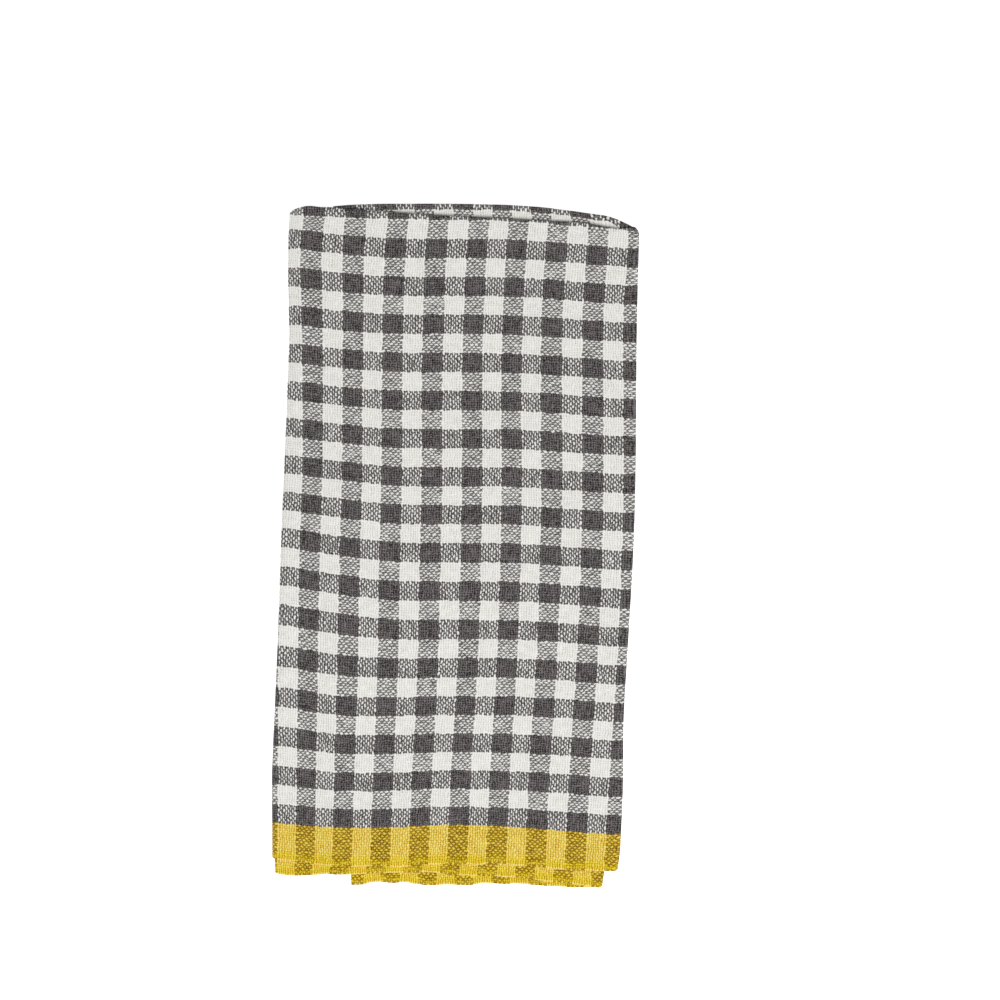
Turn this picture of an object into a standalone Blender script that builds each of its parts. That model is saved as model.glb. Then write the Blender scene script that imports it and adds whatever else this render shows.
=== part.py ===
"""Folded tea towel, lying flat.

One woven cloth, about 50 by 70 cm, folded in half so that both hems meet at -Y and the
cloth turns back in a loop at +Y, and then in thirds, with the middle third on top. From the
table up the six layers are: back panel, outer and inner layer; inner panel, outer and inner
layer; face panel, inner and outer layer. The hems are part of the cloth, where its thread is
turned in and it is a little thicker.

The tables are in millimetres; the mesh is made in metres, with its underside on z = 0 and the
origin under the middle of its bounds.
"""

import math

import bmesh
import bpy
import numpy as np

MM = 0.001

# The cloth, in millimetres.
CLOTH_THICKNESS = 1.0
HEM_THICKNESS = 1.3
HEM_DEPTH = 5.0

# The stack of layers. Heights in it are levels, counted in pitches, from 0 for the lowest layer
# to 5 for the top one. Each panel is two layers, OUTER_TURN either side of its own level, and a
# side fold joins two panels that are twice FOLD_RADIUS apart.
LAYER_GAP = 0.35
LAYER_PITCH = CLOTH_THICKNESS + LAYER_GAP
BACK_PANEL_LEVEL = 0.5
INNER_PANEL_LEVEL = 2.5
FACE_PANEL_LEVEL = 4.5
OUTER_TURN = 0.5
FOLD_RADIUS = 1.0
FOLD_BULGE = 1.3
LOOP_BULGE = 1.2
LOOP_CORNER = 2.2
HEM_CORNER = 0.7

# The face panel sinks by two levels where it passes the inner panel's free edge.
FACE_DROP = 2.0
DROP_START = 2.0
DROP_LENGTH = 24.0

# The ends of the stack, where the farthest loop and the farthest hem lie.
LOOPS_Y = 178.0
HEMS_Y = -182.0

# How much looser the stack lies than its pitch: at the loops, at the hems and in soft waves.
LOOSE_AT_LOOPS = 0.10
LOOSE_AT_HEMS = 0.24
LOOSE_LENGTH_AT_LOOPS = 40.0
LOOSE_LENGTH_AT_HEMS = 60.0
WAVE_HEIGHT = 0.035
WAVE_LENGTH_X = 74.0
WAVE_LENGTH_Y = 118.0

# Side edges, a row for each place up the cloth. Columns: y, left fold's outer side, right
# fold's outer side, inner panel's free edge, back panel's free edge (all x but the first), and
# how far the inner layer's right fold lies in from its place inside the outer layer's.
SIDE_EDGES = (
    (-182.0, -88.2, 91.6, -47.5, 83.0, 6.6),
    (-170.0, -89.0, 92.2, -48.0, 83.7, 5.6),
    (-160.0, -89.5, 93.2, -48.3, 84.1, 5.3),
    (-151.0, -89.8, 93.6, -48.6, 84.4, 5.0),
    (-130.0, -90.6, 93.4, -49.4, 85.0, 4.2),
    (-90.0, -90.3, 92.6, -51.6, 86.0, 2.5),
    (-50.0, -89.8, 93.9, -53.8, 86.5, 1.2),
    (0.0, -89.6, 95.0, -56.4, 87.0, 0.4),
    (40.0, -88.9, 94.8, -58.7, 87.0, 0.0),
    (80.0, -88.8, 93.9, -61.2, 86.5, 0.0),
    (107.0, -88.5, 93.3, -62.9, 86.3, 0.0),
    (130.0, -90.0, 93.0, -64.4, 86.0, 0.0),
    (157.0, -90.7, 92.9, -66.6, 85.8, 0.0),
    (178.0, -90.3, 92.8, -68.5, 85.5, 0.0),
)

# Ends of the layers, a row for each place along the section: 0 to 1 is the back panel from its
# free edge, 1 the left fold, 1 to 2 the face panel, 2 the right fold, 2 to 3 the inner panel.
# Columns: place, loop's y, outer layer's hem y, inner layer's hem y.
LAYER_ENDS = (
    (0.00, 168.5, -165.5, -171.5),
    (0.50, 171.0, -168.0, -173.5),
    (1.00, 173.0, -170.3, -178.2),
    (1.10, 173.2, -171.6, -177.7),
    (1.20, 172.1, -172.0, -176.6),
    (1.36, 171.2, -171.1, -174.8),
    (1.45, 170.9, -169.7, -174.4),
    (1.60, 170.5, -168.9, -175.0),
    (1.72, 170.0, -169.1, -175.3),
    (1.84, 169.5, -170.1, -176.8),
    (2.00, 168.2, -170.4, -179.3),
    (2.08, 173.4, -170.2, -179.8),
    (2.17, 175.2, -169.4, -179.6),
    (2.33, 177.3, -166.5, -179.0),
    (2.58, 177.7, -162.0, -180.3),
    (2.74, 177.0, -160.0, -180.6),
    (2.86, 176.3, -159.0, -180.5),
    (3.00, 174.4, -158.0, -182.0),
)

# Steps of the mesh.
BACK_STEPS = 8
FACE_STEPS = 20
INNER_STEPS = 12
FOLD_STEPS = 8
LAYER_STEPS = 12
LOOP_STEPS = 8

CLOTH_COLOUR = (0.36, 0.35, 0.32, 1.0)
CLOTH_ROUGHNESS = 0.9


def remove_old_objects():
    """Empty the file, so that the towel is all there is in it."""
    for thing in list(bpy.data.objects):
        bpy.data.objects.remove(thing, do_unlink=True)


def ease(value):
    """0 to 1 with soft ends, flat outside that range."""
    value = min(max(value, 0.0), 1.0)
    return value * value * (3.0 - 2.0 * value)


def along_table(table, column, place):
    """Value of one column at a place between the rows, on a smooth curve through them."""
    places = [row[0] for row in table]
    values = [row[column] for row in table]
    slopes = np.gradient(values, places)
    place = min(max(place, places[0]), places[-1])
    row = max(i for i in range(len(places) - 1) if places[i] <= place)
    span = places[row + 1] - places[row]
    part = (place - places[row]) / span
    rest = 1.0 - part
    return float(
        values[row] * (1.0 + 2.0 * part) * rest * rest
        + values[row + 1] * (1.0 + 2.0 * rest) * part * part
        + span * part * rest * (slopes[row] * rest - slopes[row + 1] * part)
    )


def section_columns():
    """Columns of the mesh across the cloth, as (panel or fold, how far along it)."""
    counts = (
        ("back", BACK_STEPS),
        ("left fold", FOLD_STEPS),
        ("face", FACE_STEPS),
        ("right fold", FOLD_STEPS),
        ("inner", INNER_STEPS),
    )
    columns = [(part, step / count) for part, count in counts for step in range(count)]
    return columns + [("inner", 1.0)]


def place_in_section(column):
    """The column's place as LAYER_ENDS counts it."""
    part, share = column
    starts = {"back": share, "left fold": 1.0, "face": 1.0 + share,
              "right fold": 2.0, "inner": 2.0 + share}
    return starts[part]


def fold_turn(column):
    """How far out on a fold the column is: 1 at its outermost line, 0 on a panel."""
    part, share = column
    return math.sin(math.pi * share) if part.endswith("fold") else 0.0


def pitch_at(x, y):
    """Pitch of the layers, looser at the loops and hems and in soft waves between."""
    to_loops = ease(1.0 - (LOOPS_Y - y) / LOOSE_LENGTH_AT_LOOPS)
    to_hems = ease(1.0 - (y - HEMS_Y) / LOOSE_LENGTH_AT_HEMS)
    wave = math.sin(math.tau * x / WAVE_LENGTH_X) * math.sin(math.tau * y / WAVE_LENGTH_Y)
    looser = LOOSE_AT_LOOPS * to_loops + LOOSE_AT_HEMS * to_hems + WAVE_HEIGHT * (1.0 + wave)
    return LAYER_PITCH * (1.0 + looser)


def section_point(column, y, turn):
    """x and level of the cloth's middle at one column.

    turn is OUTER_TURN on the outer layer, minus that on the inner one, and between on the loop.
    """
    part, share = column
    left = along_table(SIDE_EDGES, 1, y) + CLOTH_THICKNESS / 2
    right = along_table(SIDE_EDGES, 2, y) - CLOTH_THICKNESS / 2
    inner_edge = along_table(SIDE_EDGES, 3, y)
    back_edge = along_table(SIDE_EDGES, 4, y)
    inset = along_table(SIDE_EDGES, 5, y) * (OUTER_TURN - turn)
    reach = LAYER_PITCH * FOLD_BULGE
    left_centre = left + (FOLD_RADIUS + OUTER_TURN) * reach
    right_centre = right - (FOLD_RADIUS + OUTER_TURN) * reach - inset
    radius = FOLD_RADIUS + turn
    if part == "back":
        return back_edge + (left_centre - back_edge) * share, BACK_PANEL_LEVEL - turn
    if part == "left fold":
        x = left_centre - reach * radius * math.sin(math.pi * share)
        middle = BACK_PANEL_LEVEL + FOLD_RADIUS
        return x, middle - radius * math.cos(math.pi * share)
    if part == "face":
        x = left_centre + (right_centre - left_centre) * share
        dropped = ease((inner_edge - DROP_START - x) / DROP_LENGTH)
        return x, FACE_PANEL_LEVEL + turn - FACE_DROP * dropped
    if part == "right fold":
        x = right_centre + reach * radius * math.sin(math.pi * share)
        middle = FACE_PANEL_LEVEL - FOLD_RADIUS
        return x, middle + radius * math.cos(math.pi * share)
    return right_centre + (inner_edge - right_centre) * share, INNER_PANEL_LEVEL - turn


def rows_of_column(column):
    """Rows of one column from the outer layer's hem, round the loop, to the inner layer's.

    Each row is (y, turn, distance from its own hem).
    """
    place = place_in_section(column)
    rounding = fold_turn(column) ** 2
    loop_y = along_table(LAYER_ENDS, 1, place) - LOOP_CORNER * rounding
    outer_hem_y = along_table(LAYER_ENDS, 2, place) + HEM_CORNER * rounding
    inner_hem_y = along_table(LAYER_ENDS, 3, place) + HEM_CORNER * rounding
    loop_reach = LAYER_PITCH * LOOP_BULGE / 2
    turn_y = loop_y - CLOTH_THICKNESS / 2 - loop_reach

    def layer(hem_y, turn):
        hem = [0.0, HEM_DEPTH / 2, HEM_DEPTH]
        length = turn_y - hem_y - HEM_DEPTH
        cloth = [HEM_DEPTH + length * step / LAYER_STEPS for step in range(1, LAYER_STEPS)]
        return [(hem_y + distance, turn, distance) for distance in hem + cloth]

    angles = [math.pi * step / LOOP_STEPS for step in range(LOOP_STEPS + 1)]
    loop = [(turn_y + loop_reach * math.sin(angle), OUTER_TURN * math.cos(angle), HEM_DEPTH)
            for angle in angles]
    return layer(outer_hem_y, OUTER_TURN) + loop + layer(inner_hem_y, -OUTER_TURN)[::-1]


def thickness_at(distance):
    """Thickness of the cloth at a distance from its hem's edge."""
    return CLOTH_THICKNESS + (HEM_THICKNESS - CLOTH_THICKNESS) * ease(1.0 - distance / HEM_DEPTH)


def middle_of_cloth():
    """Grid of points on the cloth's middle, and its thickness at each."""
    points = []
    thicknesses = []
    for column in section_columns():
        line = []
        line_thickness = []
        for y, turn, distance in rows_of_column(column):
            x, level = section_point(column, y, turn)
            thickness = thickness_at(distance)
            line.append((x, y, level * pitch_at(x, y) + thickness / 2))
            line_thickness.append(thickness)
        points.append(line)
        thicknesses.append(line_thickness)
    return np.array(points), np.array(thicknesses)


def sides_of_cloth(points, thicknesses):
    """The outer and the inner face, half a thickness either side of the middle."""
    normals = np.cross(np.gradient(points, axis=0), np.gradient(points, axis=1))
    normals /= np.linalg.norm(normals, axis=2, keepdims=True)
    offset = normals * (thicknesses / 2)[:, :, None]
    return points + offset, points - offset


def seat_on_origin(outer, inner):
    """Move both faces so that the origin lies under the middle of their bounds."""
    both = np.concatenate([outer.reshape(-1, 3), inner.reshape(-1, 3)])
    low = both.min(axis=0)
    high = both.max(axis=0)
    seat = np.array([(low[0] + high[0]) / 2, (low[1] + high[1]) / 2, low[2]])
    return outer - seat, inner - seat


def rim_of_grid(columns, rows):
    """Border of a grid, once round, in the direction in which its faces turn."""
    return (
        [(i, 0) for i in range(columns - 1)]
        + [(columns - 1, j) for j in range(rows - 1)]
        + [(i, rows - 1) for i in range(columns - 1, 0, -1)]
        + [(0, j) for j in range(rows - 1, 0, -1)]
    )


def cloth_material():
    """Plain cotton, in the middle grey of the charcoal and white check."""
    material = bpy.data.materials.new("check_cotton")
    material.use_nodes = True
    shader = material.node_tree.nodes["Principled BSDF"]
    shader.inputs["Base Color"].default_value = CLOTH_COLOUR
    shader.inputs["Roughness"].default_value = CLOTH_ROUGHNESS
    shader.inputs["Metallic"].default_value = 0.0
    return material


def make_towel():
    """The folded cloth as one closed solid."""
    outer, inner = seat_on_origin(*sides_of_cloth(*middle_of_cloth()))
    columns, rows = outer.shape[:2]
    shape = bmesh.new()
    face_up = [[shape.verts.new(point * MM) for point in line] for line in outer]
    face_down = [[shape.verts.new(point * MM) for point in line] for line in inner]
    for i in range(columns - 1):
        for j in range(rows - 1):
            shape.faces.new((face_up[i][j], face_up[i + 1][j],
                             face_up[i + 1][j + 1], face_up[i][j + 1]))
            shape.faces.new((face_down[i][j], face_down[i][j + 1],
                             face_down[i + 1][j + 1], face_down[i + 1][j]))
    rim = rim_of_grid(columns, rows)
    for (i, j), (k, m) in zip(rim, rim[1:] + rim[:1]):
        shape.faces.new((face_up[i][j], face_down[i][j], face_down[k][m], face_up[k][m]))
    mesh = bpy.data.meshes.new("tea_towel")
    shape.to_mesh(mesh)
    shape.free()
    mesh.shade_smooth()
    mesh.set_sharp_from_angle(angle=math.radians(50.0))
    mesh.materials.append(cloth_material())
    towel = bpy.data.objects.new("tea_towel", mesh)
    bpy.context.scene.collection.objects.link(towel)
    return towel


remove_old_objects()
make_towel()
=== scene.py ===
import math

import bpy
import numpy as np
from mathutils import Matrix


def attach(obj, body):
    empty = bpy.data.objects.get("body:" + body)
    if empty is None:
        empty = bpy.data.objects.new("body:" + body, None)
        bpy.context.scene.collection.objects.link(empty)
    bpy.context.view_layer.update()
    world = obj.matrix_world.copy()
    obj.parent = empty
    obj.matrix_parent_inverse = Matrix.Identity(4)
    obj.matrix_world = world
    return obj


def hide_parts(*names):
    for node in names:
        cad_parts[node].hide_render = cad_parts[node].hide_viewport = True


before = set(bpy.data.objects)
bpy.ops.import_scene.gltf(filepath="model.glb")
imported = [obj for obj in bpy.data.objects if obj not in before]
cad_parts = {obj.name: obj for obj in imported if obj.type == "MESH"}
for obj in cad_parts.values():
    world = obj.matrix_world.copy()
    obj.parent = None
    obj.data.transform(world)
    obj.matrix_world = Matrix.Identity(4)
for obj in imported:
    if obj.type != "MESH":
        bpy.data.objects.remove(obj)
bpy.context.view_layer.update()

# ------------------------------------------------------------------------------------------
# The towel: one plain-woven cotton cloth of 50 by 70 cm. It is folded in half so that both
# hems meet, then in thirds with the middle third on top, and pressed flat by hand. Its ends
# are turned in as narrow hems; nothing is sewn on.
# ------------------------------------------------------------------------------------------
MM = 0.001  # the cloth's sizes are in millimetres; its mesh is in metres

CLOTH_THICKNESS = 1.0
HEM_THICKNESS = 1.3
HEM_DEPTH = 5.0
EDGE_ROUNDING = 0.6
EDGE_BLUNTNESS = 0.02

# Height in the stack is counted in levels, 0 for the lowest layer and 5 for the top one.
LAYER_PITCH = 1.35
BACK_PANEL_LEVEL = 0.5
INNER_PANEL_LEVEL = 2.5
FACE_PANEL_LEVEL = 4.5
TOP_LEVEL = 5.0
OUTER_TURN = 0.5
FOLD_RADIUS = 1.0
LEFT_FOLD_REACH = 1.3
LEFT_FOLD_STEP = 0.4
LEFT_FOLD_BULGE = 2.2
RIGHT_FOLD_BULGE = 1.3
LOOP_BULGE = 1.2
LOOP_CORNER = 2.2
HEM_CORNER = 0.7

# The hem lines wobble: how far, in bumps how long, and how wide a panel counts for that.
HEM_WOBBLE = 0.15
HEM_WOBBLE_LENGTH = 4.5
PLACE_LENGTH = 180.0
OUTER_HEM_SEED = 11
INNER_HEM_SEED = 12

# The face panel sinks where it passes the inner panel's free edge.
FACE_DROP = 2.0
DROP_START = 2.0
DROP_LENGTH = 24.0

# The layers lie looser towards the loops and the hems, and in soft waves between.
LOOPS_Y = 178.0
HEMS_Y = -182.0
LOOSE_AT_LOOPS = 0.10
LOOSE_AT_HEMS = 0.24
LOOSE_LENGTH_AT_LOOPS = 40.0
LOOSE_LENGTH_AT_HEMS = 60.0
WAVE_HEIGHT = 0.035
WAVE_LENGTH_X = 74.0
WAVE_LENGTH_Y = 118.0
# The unevenness that hands leave in the cloth: height, length across, length along and seed.
UNEVENNESS = ((0.22, 34.0, 52.0, 3), (0.10, 13.0, 19.0, 4))
CHANCE_GRID = 96

# The tables are laid out round a point a little off the middle of the folded towel.
SEAT_X = 2.202
SEAT_Y = -2.098

# y, left fold's outer side, right fold's outer side, inner panel's free edge, back panel's
# free edge (all x), and how far the inner layer's right fold lies in from its place.
SIDE_EDGES = (
    (-182.0, -88.7, 91.7, -47.5, 83.0, 6.1),
    (-170.0, -89.5, 92.3, -48.0, 83.7, 5.1),
    (-160.0, -90.0, 93.3, -48.3, 84.1, 4.9),
    (-151.0, -90.3, 93.5, -48.6, 84.4, 4.6),
    (-130.0, -91.1, 93.8, -49.4, 85.0, 4.1),
    (-90.0, -90.8, 93.1, -51.6, 86.0, 2.5),
    (-50.0, -90.3, 94.2, -53.8, 86.5, 1.2),
    (0.0, -90.2, 95.5, -56.4, 87.0, 0.4),
    (40.0, -89.7, 95.4, -58.7, 87.0, 0.0),
    (80.0, -89.3, 94.5, -61.2, 86.5, 0.0),
    (107.0, -89.3, 93.9, -62.9, 86.3, 0.0),
    (130.0, -90.5, 93.6, -64.4, 86.0, 0.0),
    (157.0, -91.2, 93.5, -66.6, 85.8, 0.0),
    (178.0, -90.8, 93.4, -68.5, 85.5, 0.0),
)

# Place along the section, and the y of an end there. Place 0 to 1 is the back panel from its
# free edge, 1 the left fold, 1 to 2 the face panel, 2 the right fold, 2 to 3 the inner panel.
LOOP_LINE = (
    (0.00, 168.5), (0.50, 171.0), (1.00, 172.9), (1.02, 173.9), (1.07, 173.5), (1.10, 173.6),
    (1.13, 173.0), (1.20, 172.6), (1.36, 171.4), (1.60, 170.5), (1.72, 170.0), (1.84, 169.5),
    (2.00, 168.2), (2.04, 171.2), (2.08, 173.4), (2.15, 174.8), (2.21, 175.9), (2.30, 177.2),
    (2.58, 177.7), (2.74, 177.0), (2.86, 176.3), (2.95, 175.3), (3.00, 174.4),
)
OUTER_HEM_LINE = (
    (0.00, -165.5), (0.50, -168.0), (1.00, -170.3), (1.04, -170.5), (1.10, -171.6),
    (1.20, -172.0), (1.24, -171.9), (1.30, -171.3), (1.39, -171.0), (1.43, -169.7),
    (1.47, -169.7), (1.505, -168.7), (1.535, -169.6), (1.56, -168.9), (1.60, -169.0),
    (1.64, -167.9), (1.67, -168.0), (1.69, -168.8), (1.73, -169.2), (1.76, -169.3),
    (1.82, -169.9), (1.87, -170.7), (1.92, -170.3), (2.00, -170.4), (2.30, -166.5),
    (3.00, -158.0),
)
INNER_HEM_LINE = (
    (0.00, -171.5), (0.50, -173.5), (1.00, -178.2), (1.03, -178.4), (1.09, -177.9),
    (1.12, -177.3), (1.14, -176.7), (1.17, -176.8), (1.21, -176.5), (1.26, -175.8),
    (1.30, -175.2), (1.36, -174.8), (1.40, -174.4), (1.46, -174.2), (1.51, -174.4),
    (1.53, -174.9), (1.63, -175.0), (1.70, -175.2), (1.76, -175.4), (1.80, -176.4),
    (1.86, -177.1), (1.90, -177.6), (1.94, -178.3), (2.00, -179.3), (2.08, -179.8),
    (2.20, -179.6), (2.30, -179.0), (2.35, -178.8), (2.38, -179.3), (2.44, -179.0),
    (2.48, -179.3), (2.51, -180.4), (2.56, -180.5), (2.60, -180.3), (2.64, -180.7),
    (2.74, -180.7), (2.78, -179.8), (2.83, -180.5), (2.91, -180.3), (2.94, -181.3),
    (2.965, -182.0), (3.00, -182.0),
)

# Steps of the mesh: across each panel and fold, and along each layer and loop. They are close
# at the selvedges, as shares of their panels, and at the hems, in millimetres.
PANEL_STEPS = (("back", 14), ("left fold", 12), ("face", 112), ("right fold", 12), ("inner", 40))
BACK_SELVEDGE_STEPS = (0.0, 0.0005, 0.0015, 0.0035)
INNER_SELVEDGE_STEPS = (0.9955, 0.998, 0.9994, 1.0)
EDGE_STEPS = (0.0, 0.08, 0.25, 0.6, 1.4, 2.6, 4.0)
OUTER_LAYER_STEPS = 150
INNER_LAYER_STEPS = 56
LOOP_STEPS = 14
FAR_FROM_HEM = 100.0  # for the loop: any distance past HEM_DEPTH does


def ease(value):
    """0 to 1 with soft ends, flat outside that range."""
    value = np.clip(value, 0.0, 1.0)
    return value * value * (3.0 - 2.0 * value)


def along(table, column, places):
    """Values of one column of a table at places, on a smooth curve through its rows."""
    at = np.array([row[0] for row in table])
    values = np.array([row[column] for row in table])
    slopes = np.gradient(values, at)
    places = np.clip(places, at[0], at[-1])
    row = np.clip(np.searchsorted(at, places, side="right") - 1, 0, len(at) - 2)
    span = at[row + 1] - at[row]
    part = (places - at[row]) / span
    rest = 1.0 - part
    return (
        values[row] * (1.0 + 2.0 * part) * rest * rest
        + values[row + 1] * (1.0 + 2.0 * rest) * part * part
        + span * part * rest * (slopes[row] * rest - slopes[row + 1] * part)
    )


def uneven(x, y, length_x, length_y, seed):
    """Smooth chance field between -1 and 1, with bumps of about the given lengths."""
    chance = np.random.default_rng(seed)
    grid = chance.uniform(-1.0, 1.0, (CHANCE_GRID, CHANCE_GRID))
    gx = np.asarray(x) / length_x + CHANCE_GRID / 2
    gy = np.asarray(y) / length_y + CHANCE_GRID / 2
    ix = np.floor(gx).astype(int) % (CHANCE_GRID - 1)
    iy = np.floor(gy).astype(int) % (CHANCE_GRID - 1)
    sx, sy = ease(gx - np.floor(gx)), ease(gy - np.floor(gy))
    low = grid[ix, iy] * (1.0 - sx) + grid[ix + 1, iy] * sx
    high = grid[ix, iy + 1] * (1.0 - sx) + grid[ix + 1, iy + 1] * sx
    return low * (1.0 - sy) + high * sy


def pitch_at(x, y):
    """Pitch of the layers, looser at the loops and hems and in soft waves between."""
    to_loops = ease(1.0 - (LOOPS_Y - y) / LOOSE_LENGTH_AT_LOOPS)
    to_hems = ease(1.0 - (y - HEMS_Y) / LOOSE_LENGTH_AT_HEMS)
    wave = np.sin(math.tau * x / WAVE_LENGTH_X) * np.sin(math.tau * y / WAVE_LENGTH_Y)
    looser = LOOSE_AT_LOOPS * to_loops + LOOSE_AT_HEMS * to_hems + WAVE_HEIGHT * (1.0 + wave)
    return LAYER_PITCH * (1.0 + looser)


def section_columns():
    """Columns of the mesh across the cloth, as (panel or fold, how far along it)."""
    columns = []
    for part, steps in PANEL_STEPS:
        shares = list(np.arange(steps) / steps)
        if part == "back":
            shares = list(BACK_SELVEDGE_STEPS) + shares[1:]
        columns += [(part, share) for share in shares]
    return columns + [("inner", share) for share in INNER_SELVEDGE_STEPS]


def place_of(column):
    """The column's place along the section, as the end lines count it."""
    part, share = column
    starts = {"back": share, "left fold": 1.0, "face": 1.0 + share,
              "right fold": 2.0, "inner": 2.0 + share}
    return starts[part]


def section_points(column, y, turn):
    """x and level of the cloth's middle down one column.

    turn is OUTER_TURN on the outer layer, minus that on the inner one, and between on the loop.
    """
    part, share = column
    left = along(SIDE_EDGES, 1, y) + CLOTH_THICKNESS / 2
    right = along(SIDE_EDGES, 2, y) - CLOTH_THICKNESS / 2
    inner_edge = along(SIDE_EDGES, 3, y)
    back_edge = along(SIDE_EDGES, 4, y)
    inset = along(SIDE_EDGES, 5, y) * (OUTER_TURN - turn)
    left_reach = LAYER_PITCH * LEFT_FOLD_BULGE
    right_reach = LAYER_PITCH * RIGHT_FOLD_BULGE
    left_centre = left + (LEFT_FOLD_REACH + LEFT_FOLD_STEP * OUTER_TURN) * left_reach
    right_centre = right - (FOLD_RADIUS + OUTER_TURN) * right_reach - inset
    radius = FOLD_RADIUS + turn
    if part == "back":
        return back_edge + (left_centre - back_edge) * share, BACK_PANEL_LEVEL - turn
    if part == "left fold":
        reach = left_reach * (LEFT_FOLD_REACH + LEFT_FOLD_STEP * turn)
        x = left_centre - reach * math.sin(math.pi * share)
        return x, BACK_PANEL_LEVEL + FOLD_RADIUS - radius * math.cos(math.pi * share)
    if part == "face":
        x = left_centre + (right_centre - left_centre) * share
        dropped = ease((inner_edge - DROP_START - x) / DROP_LENGTH)
        return x, FACE_PANEL_LEVEL + turn - FACE_DROP * dropped
    if part == "right fold":
        x = right_centre + right_reach * radius * math.sin(math.pi * share)
        return x, FACE_PANEL_LEVEL - FOLD_RADIUS + radius * math.cos(math.pi * share)
    return right_centre + (inner_edge - right_centre) * share, INNER_PANEL_LEVEL - turn


def column_rows(column):
    """y, turn and distance from the nearer hem down one column, from the outer layer's hem
    round the loop to the inner layer's hem."""
    part, share = column
    place = place_of(column)
    on_fold = math.sin(math.pi * share) if part.endswith("fold") else 0.0
    loop_y = along(LOOP_LINE, 1, place) - LOOP_CORNER * on_fold ** 2
    loop_reach = LAYER_PITCH * LOOP_BULGE / 2
    turn_y = loop_y - CLOTH_THICKNESS / 2 - loop_reach

    def layer(hem_line, seed, steps):
        hem_y = along(hem_line, 1, place) + HEM_CORNER * on_fold ** 2
        hem_y += HEM_WOBBLE * uneven(place * PLACE_LENGTH, 0.0, HEM_WOBBLE_LENGTH, 1.0, seed)
        hem = np.array(EDGE_STEPS)
        cloth = hem[-1] + (turn_y - hem_y - hem[-1]) * np.arange(1, steps) / steps
        distance = np.concatenate([hem, cloth])
        return hem_y + distance, distance

    outer_y, outer_distance = layer(OUTER_HEM_LINE, OUTER_HEM_SEED, OUTER_LAYER_STEPS)
    inner_y, inner_distance = layer(INNER_HEM_LINE, INNER_HEM_SEED, INNER_LAYER_STEPS)
    angles = np.pi * np.arange(LOOP_STEPS + 1) / LOOP_STEPS
    y = np.concatenate([outer_y, turn_y + loop_reach * np.sin(angles), inner_y[::-1]])
    turn = np.concatenate([
        np.full(len(outer_y), OUTER_TURN),
        OUTER_TURN * np.cos(angles),
        np.full(len(inner_y), -OUTER_TURN),
    ])
    far = np.full(len(angles), FAR_FROM_HEM)
    return y, turn, np.concatenate([outer_distance, far, inner_distance[::-1]])


def rounded(distance):
    """1 in the cloth, falling to a blunt round nose at an edge."""
    part = 1.0 - np.clip(distance / EDGE_ROUNDING, 0.0, 1.0)
    return np.sqrt(np.clip(1.0 - part * part, EDGE_BLUNTNESS, 1.0))


columns = section_columns()
middle, thickness, turns = [], [], []
for column in columns:
    y, turn, distance = column_rows(column)
    x, level = section_points(column, y, turn)
    thick = CLOTH_THICKNESS + (HEM_THICKNESS - CLOTH_THICKNESS) * ease(1.0 - distance / HEM_DEPTH)
    soft = sum(high * uneven(x, y, wide, long, seed) for high, wide, long, seed in UNEVENNESS)
    z = level * pitch_at(x, y) + thick / 2 + soft * level / TOP_LEVEL
    middle.append(np.stack([x, y, z], axis=1))
    thickness.append(thick * rounded(distance))
    turns.append(turn)
middle = np.array(middle)
thickness = np.array(thickness)
turns = np.array(turns)

# The selvedges are rounded like the hems.
across = np.linalg.norm(np.diff(middle, axis=0), axis=2)
from_start = np.concatenate([np.zeros((1, across.shape[1])), np.cumsum(across, axis=0)])
thickness *= rounded(from_start) * rounded(from_start[-1] - from_start)

normals = np.cross(np.gradient(middle, axis=0), np.gradient(middle, axis=1))
normals /= np.linalg.norm(normals, axis=2, keepdims=True)
outer_side = middle + normals * (thickness / 2)[:, :, None]
inner_side = middle - normals * (thickness / 2)[:, :, None]

# Thread lines. The weave is a little out of square, as cloth is. A stripe pair is 8 dark and
# 8 light threads; u counts pairs across the cloth and v pairs along it, and whole numbers
# are where a dark stripe begins.
# y, then x of the lines u = 0, 1, 2, 4, 6 and 8 on the face panel.
WARP_LINES = (
    (-168.0, -77.0, -57.6, -37.6, 2.4, 43.6, 85.2),
    (-115.0, -78.0, -58.0, -37.4, 3.5, 44.3, 86.8),
    (-65.0, -79.0, -58.2, -37.0, 5.0, 46.1, 88.6),
    (-15.0, -79.9, -58.6, -37.8, 4.9, 46.7, 89.5),
    (35.0, -79.7, -58.8, -38.1, 4.3, 45.9, 89.1),
    (85.0, -81.2, -60.0, -39.3, 2.7, 44.1, 87.6),
    (125.0, -83.0, -60.9, -40.0, 2.7, 43.7, 86.5),
    (148.0, -84.2, -62.0, -39.9, 3.0, 44.4, 87.3),
    (170.0, -83.0, -60.9, -38.7, 3.9, 45.5, 87.8),
)
WARP_PLACES = (0.0, 1.0, 2.0, 4.0, 6.0, 8.0)
# At the hems the face panel's inner layer has slipped; this much is added to each line's x.
INNER_SLIP = (-0.5, -1.2, -1.8, -3.6, -4.9, -6.6)
# y, then x of the lines u = 9 and 15 on the inner panel, and u at its free edge.
INNER_PANEL_LINES = (
    (-180.0, 74.5, -41.2, 15.32),
    (175.0, 67.2, -56.0, 15.55),
)
INNER_PANEL_PLACES = (9.0, 15.0)
BACK_EDGE_U = -8.85

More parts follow.
